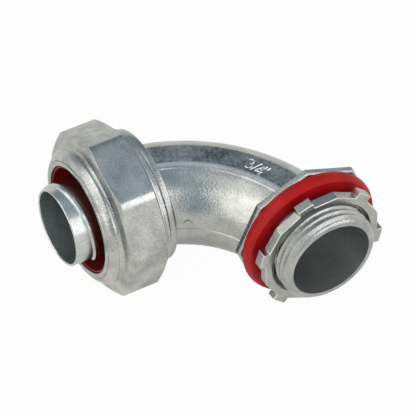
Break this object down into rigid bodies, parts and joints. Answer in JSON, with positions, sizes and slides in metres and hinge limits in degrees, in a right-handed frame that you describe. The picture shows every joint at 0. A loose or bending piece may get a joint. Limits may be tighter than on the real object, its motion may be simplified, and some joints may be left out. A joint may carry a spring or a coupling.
{
  "type": "liquidtight elbow connector",
  "caption": "Right-angle liquidtight conduit fitting: a bent cast body with a threaded hub, red gasket and lugged locknut, and an eight-sided gland nut over a sealing ring and ferrule.",
  "frame": {"origin": "on the hub axis, at the front face of the gasket, where the enclosure wall lies", "axes": "+X along the hub, out through the enclosure wall; -Y along the gland axis, the way the conduit leaves; +Z to the side of the bend that carries the marking flat"},
  "size_m": [0.0647, 0.0737, 0.0446],
  "materials": {
    "cast_zinc": "bright as-cast zinc, satin and faintly mottled",
    "nut_zinc": "bright as-cast zinc, satin",
    "locknut_zinc": "as-cast zinc, worn bright at the lugs",
    "plated_steel": "zinc-plated sheet, satin",
    "red_ring": "satin red plastic",
    "red_gasket": "satin red plastic"
  },
  "bodies": {
    "body": {"elbow_body": "cast_zinc"},
    "ring": {"sealing_ring": "red_ring"},
    "nut": {"gland_nut": "nut_zinc"},
    "gasket": {"sealing_gasket": "red_gasket"},
    "locknut": {"locknut": "locknut_zinc"},
    "ferrule": {"ferrule": "plated_steel"}
  },
  "joints": [
    {"name": "ring_travel", "type": "slide", "parent": "body", "child": "ring", "axis": [0, -1, 0], "range_m": [0, 0.0075]},
    {"name": "nut_turn", "type": "hinge", "parent": "ring", "child": "nut", "pos_m": [-0.0332, -0.04, 0], "axis": [0, -1, 0], "range_deg": [0, 1799]},
    {"name": "locknut_turn", "type": "hinge", "parent": "body", "child": "gasket", "pos_m": [0, 0, 0], "axis": [1, 0, 0], "range_deg": [-396, 864]},
    {"name": "locknut_travel", "type": "slide", "parent": "gasket", "child": "locknut", "axis": [1, 0, 0], "range_m": [-0.002, 0.00436]},
    {"name": "ferrule_turn", "type": "hinge", "parent": "body", "child": "ferrule", "pos_m": [-0.0332, -0.04, 0], "axis": [0, -1, 0], "continuous": true}
  ],
  "couplings": [
    {"joint": "ring_travel", "follows": "nut_turn", "m_per_rad": 0.00023873},
    {"joint": "locknut_travel", "follows": "locknut_turn", "m_per_rad": 0.00028876}
  ]
}
